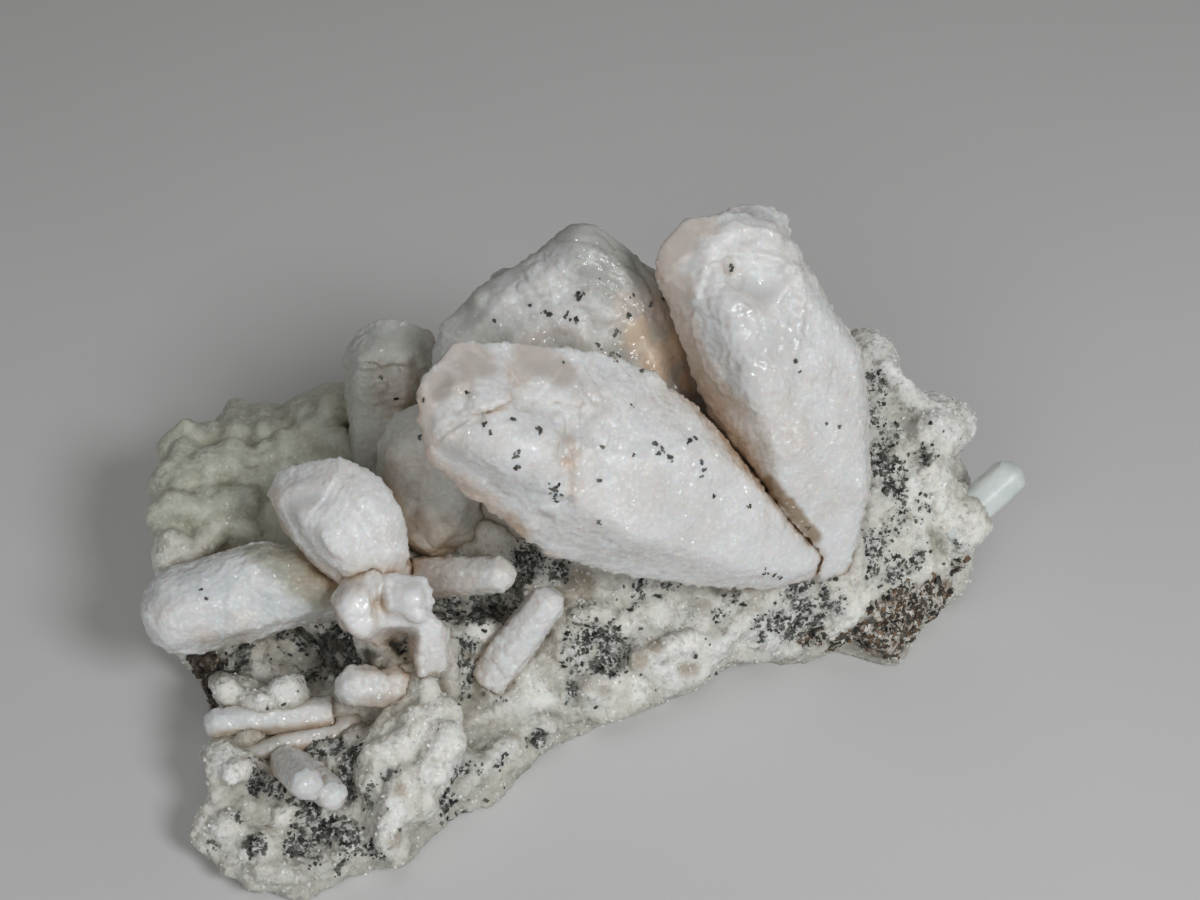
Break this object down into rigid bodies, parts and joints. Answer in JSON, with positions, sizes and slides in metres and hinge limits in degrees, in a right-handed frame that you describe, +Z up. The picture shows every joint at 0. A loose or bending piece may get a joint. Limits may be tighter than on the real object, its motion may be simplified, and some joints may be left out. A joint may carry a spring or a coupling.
{
  "type": "manganocalcite specimen",
  "caption": "Group of pale pink and milky white calcite crystals standing on a slab of drusy white crust with dark granular rock; rests on its flat trimmed underside.",
  "frame": {"origin": "on the flat trimmed underside, under the front crystal, about 15 mm behind the slab's front edge", "axes": "+X along the specimen's long direction, +Y away from the front edge, +Z up"},
  "size_m": [0.1483, 0.0979, 0.0765],
  "materials": {
    "crust": "drusy white calcite crust with small dark grains over brown granular rock",
    "pink_crystal": "milky, faintly pink calcite with a sugary frosted surface",
    "white_crystal": "milky bluish white calcite with a sugary surface",
    "grey_crystal": "greyish white calcite with a dull sugary surface",
    "clear_prong": "pale bluish translucent calcite, satin"
  },
  "bodies": {
    "root": {"matrix": "crust", "crystal_front": "pink_crystal", "crystal_right": "pink_crystal", "crystal_back": "pink_crystal", "crystal_left_small": "white_crystal", "crystal_left_upright": "white_crystal", "crystal_left_lying": "white_crystal", "crystal_middle_left": "grey_crystal", "crystal_back_left": "grey_crystal", "prong_horizontal": "white_crystal", "prong_upright": "white_crystal", "prong_stub": "white_crystal", "prong_left_long": "white_crystal", "prong_left_low": "white_crystal", "prong_left_short": "white_crystal", "prong_right": "clear_prong", "prong_pair": "white_crystal"}
  },
  "joints": []
}
